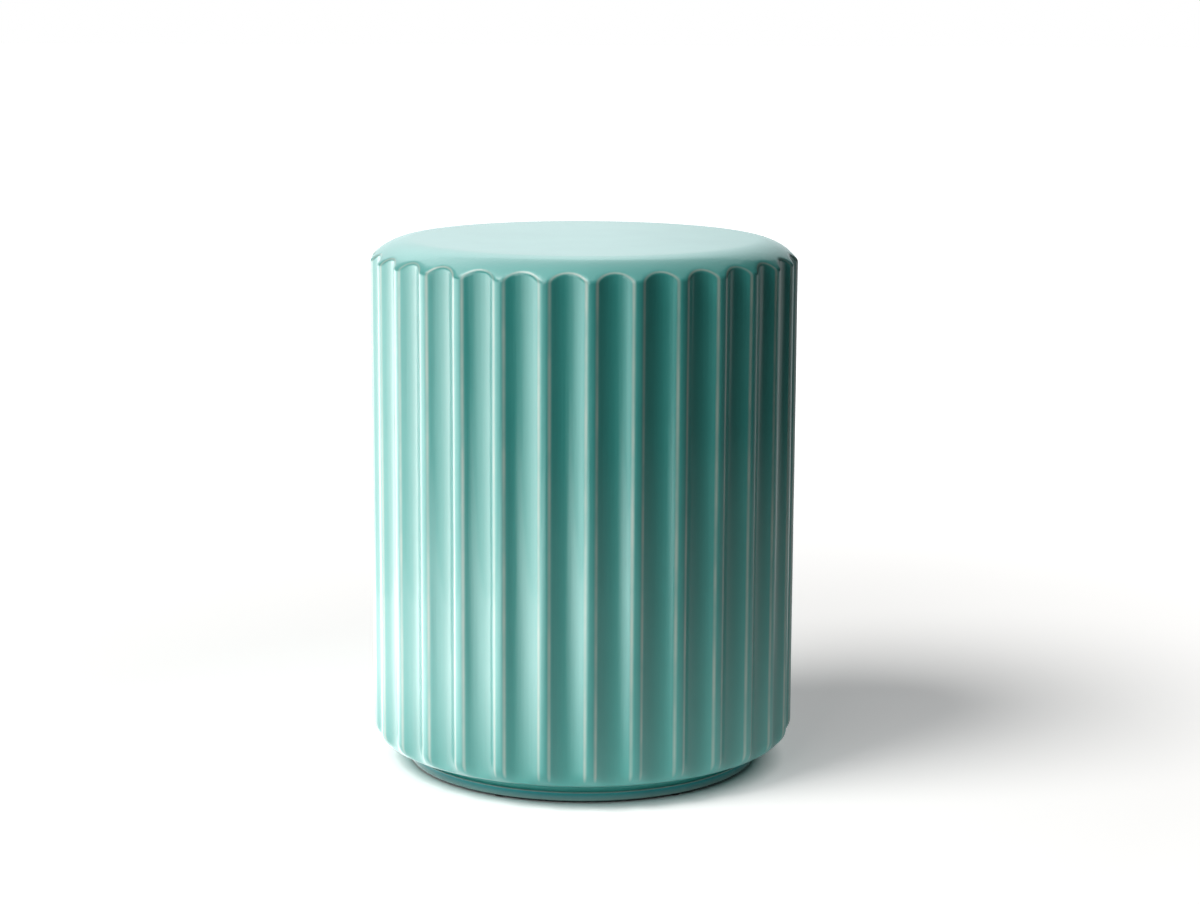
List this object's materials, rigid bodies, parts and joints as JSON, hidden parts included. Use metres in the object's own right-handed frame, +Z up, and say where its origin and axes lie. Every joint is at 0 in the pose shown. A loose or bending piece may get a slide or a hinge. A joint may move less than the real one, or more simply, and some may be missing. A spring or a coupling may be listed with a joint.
{
  "type": "garden stool",
  "caption": "Drum-shaped glazed ceramic garden stool with upright flutes, a flat seat, a rolled shoulder and a recessed foot ring.",
  "frame": {"origin": "centre of the footprint on the floor", "axes": "+Z up through the middle of the seat, -Y towards the front, where a land between two flutes is centred"},
  "size_m": [0.3604, 0.3614, 0.45],
  "materials": {
    "glaze": "glossy celadon-teal glaze, pale where it thins on edges",
    "plinth_glaze": "the same glaze pooled darker, with a bare fired clay foot",
    "pad": "matt dark adhesive pad"
  },
  "bodies": {
    "root": {"seat_disc": "glaze", "fluted_drum": "glaze", "base_plinth": "plinth_glaze", "floor_pad_1": "pad", "floor_pad_2": "pad", "floor_pad_3": "pad", "floor_pad_4": "pad", "floor_pad_5": "pad", "floor_pad_6": "pad"}
  },
  "joints": []
}
